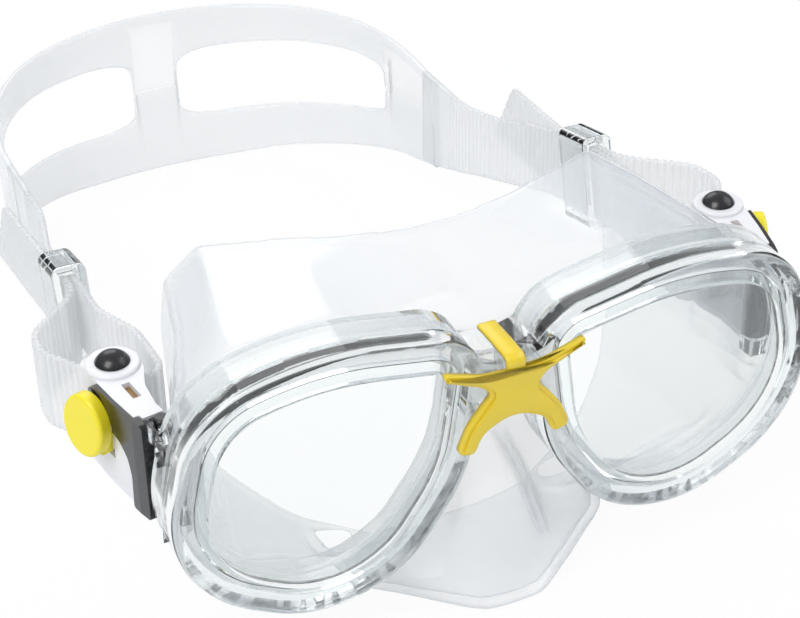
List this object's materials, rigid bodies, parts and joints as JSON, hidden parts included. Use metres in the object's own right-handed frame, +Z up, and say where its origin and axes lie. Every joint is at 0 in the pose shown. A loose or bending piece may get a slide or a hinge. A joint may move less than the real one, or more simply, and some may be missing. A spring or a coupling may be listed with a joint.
{
  "type": "snorkel mask",
  "caption": "Two-lens diving mask with a clear frame and silicone skirt, nose pocket, yellow bridge clip, split head strap and swivel push-button buckles.",
  "frame": {"origin": "centre of the bounding box on the floor, with the mask standing on its nose pocket and on the lower edge of its strap", "axes": "+Y from the lenses back to the head strap, +X to the wearer's left, +Z up"},
  "size_m": [0.1814, 0.2634, 0.0846],
  "materials": {
    "frame_clear": "clear polycarbonate, polished",
    "lens": "clear toughened glass",
    "silicone": "clear silicone, soft gloss",
    "strap_silicone": "milky clear silicone, satin",
    "clip_yellow": "yellow plastic, gloss",
    "button_yellow": "yellow plastic, gloss",
    "white_plastic": "white plastic, semi gloss",
    "black_plastic": "black plastic, semi gloss",
    "spring_steel": "bright stainless wire"
  },
  "bodies": {
    "mask": {"front_frame": "frame_clear", "rear_frame": "frame_clear", "lens_left": "lens", "lens_right": "lens", "face_skirt": "silicone", "bridge_clip": "clip_yellow", "head_strap": "strap_silicone", "hinge_pin_left": "black_plastic", "hinge_pin_right": "black_plastic"},
    "buckle_left": {"buckle_arm_left": "black_plastic", "buckle_body_left": "white_plastic", "roller_axle_left": "black_plastic", "pawl_pin_left": "spring_steel", "button_spring_left": "spring_steel", "strap_tail_left": "strap_silicone"},
    "roller_left": {"strap_roller_left": "white_plastic"},
    "button_left": {"release_button_left": "button_yellow"},
    "pawl_left": {"ratchet_pawl_left": "white_plastic"},
    "keeper_left": {"strap_keeper_left": "frame_clear"},
    "buckle_right": {"buckle_arm_right": "black_plastic", "buckle_body_right": "white_plastic", "roller_axle_right": "black_plastic", "pawl_pin_right": "spring_steel", "button_spring_right": "spring_steel", "strap_tail_right": "strap_silicone"},
    "roller_right": {"strap_roller_right": "white_plastic"},
    "button_right": {"release_button_right": "button_yellow"},
    "pawl_right": {"ratchet_pawl_right": "white_plastic"},
    "keeper_right": {"strap_keeper_right": "frame_clear"}
  },
  "joints": [
    {"name": "buckle_swivel_left", "type": "hinge", "parent": "mask", "child": "buckle_left", "pos_m": [0.0745, -0.10998, 0.05258], "axis": [0, 0.068, -0.9977], "range_deg": [-6, 25], "deforming": ["strap_tail_left"]},
    {"name": "roller_spin_left", "type": "hinge", "parent": "buckle_left", "child": "roller_left", "pos_m": [0.07797, -0.08679, 0.05417], "axis": [0, -0.068, 0.9977], "continuous": true},
    {"name": "button_push_left", "type": "slide", "parent": "buckle_left", "child": "button_left", "axis": [-0.9129, 0.4009, -0.0773], "range_m": [0, 0.0008], "stiffness_N_per_m": 900, "springref_m": -0.0006, "deforming": ["button_spring_left"]},
    {"name": "pawl_rock_left", "type": "hinge", "parent": "buckle_left", "child": "pawl_left", "pos_m": [0.08106, -0.0922, 0.0538], "axis": [0, 0.068, -0.9977], "range_deg": [0, 16.2]},
    {"name": "keeper_slide_left", "type": "slide", "parent": "buckle_left", "child": "keeper_left", "axis": [0, 0.9851, -0.1719], "range_m": [0, 0.009]},
    {"name": "buckle_swivel_right", "type": "hinge", "parent": "mask", "child": "buckle_right", "pos_m": [-0.0745, -0.10998, 0.05258], "axis": [0, -0.068, 0.9977], "range_deg": [-6, 25], "deforming": ["strap_tail_right"]},
    {"name": "roller_spin_right", "type": "hinge", "parent": "buckle_right", "child": "roller_right", "pos_m": [-0.07797, -0.08679, 0.05417], "axis": [0, -0.068, 0.9977], "continuous": true},
    {"name": "button_push_right", "type": "slide", "parent": "buckle_right", "child": "button_right", "axis": [0.9129, 0.4009, -0.0773], "range_m": [0, 0.0008], "stiffness_N_per_m": 900, "springref_m": -0.0006, "deforming": ["button_spring_right"]},
    {"name": "pawl_rock_right", "type": "hinge", "parent": "buckle_right", "child": "pawl_right", "pos_m": [-0.08106, -0.0922, 0.0538], "axis": [0, -0.068, 0.9977], "range_deg": [0, 16.2]},
    {"name": "keeper_slide_right", "type": "slide", "parent": "buckle_right", "child": "keeper_right", "axis": [0, 0.9851, -0.1719], "range_m": [0, 0.009]}
  ],
  "couplings": [
    {"joint": "pawl_rock_left", "follows": "button_push_left", "rad_per_m": 350},
    {"joint": "pawl_rock_right", "follows": "button_push_right", "rad_per_m": 350}
  ]
}
